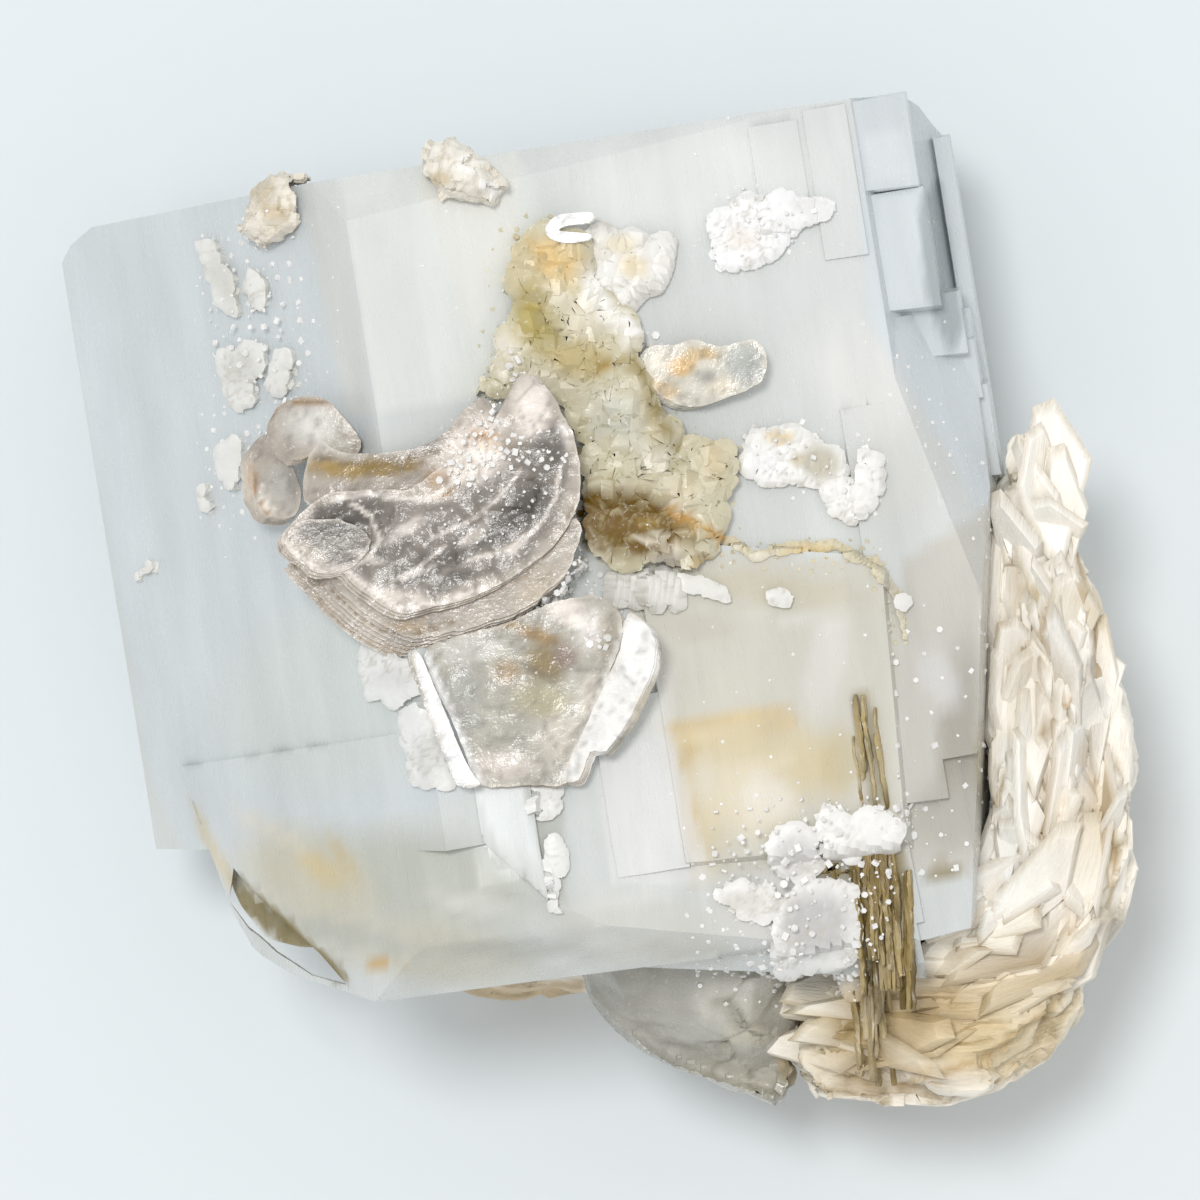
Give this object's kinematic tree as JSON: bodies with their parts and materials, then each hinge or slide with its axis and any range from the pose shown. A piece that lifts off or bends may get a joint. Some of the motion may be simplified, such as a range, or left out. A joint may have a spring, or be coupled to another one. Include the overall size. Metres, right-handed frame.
{
  "type": "aquamarine crystal on feldspar matrix",
  "caption": "Blocky pale blue beryl crystal lying on a cut-flat feldspar matrix, with mica books, albite crusts and grey quartz on its face.",
  "frame": {"origin": "centre of the picture's frame, on the flat cut back of the matrix that the specimen rests on", "axes": "+Z away from the cut back, towards the display side; +Y towards the crystal's flat basal end; +X towards the feldspar's wall of blades"},
  "size_m": [0.0659, 0.0618, 0.0394],
  "materials": {
    "beryl": "vitreous, translucent, milky inside",
    "feldspar": "pearly cleavage blades",
    "quartz": "vitreous, cloudy",
    "mica": "glossy pearly sheets",
    "albite": "sugary, matte",
    "stained_crust": "iron-stained, rough"
  },
  "bodies": {
    "root": {"aquamarine": "beryl", "feldspar_matrix": "feldspar", "feldspar_knob_left": "feldspar", "feldspar_knob_top": "feldspar", "quartz": "quartz", "mica_book_upper": "mica", "mica_book_lower": "mica", "mica_seam": "mica", "mica_cleft": "mica", "mica_tongue": "mica", "albite_top": "albite", "albite_patch": "albite", "albite_middle": "albite", "albite_lower": "albite", "white_chips": "albite", "side_chips": "albite", "stained_ridge": "stained_crust"}
  },
  "joints": []
}
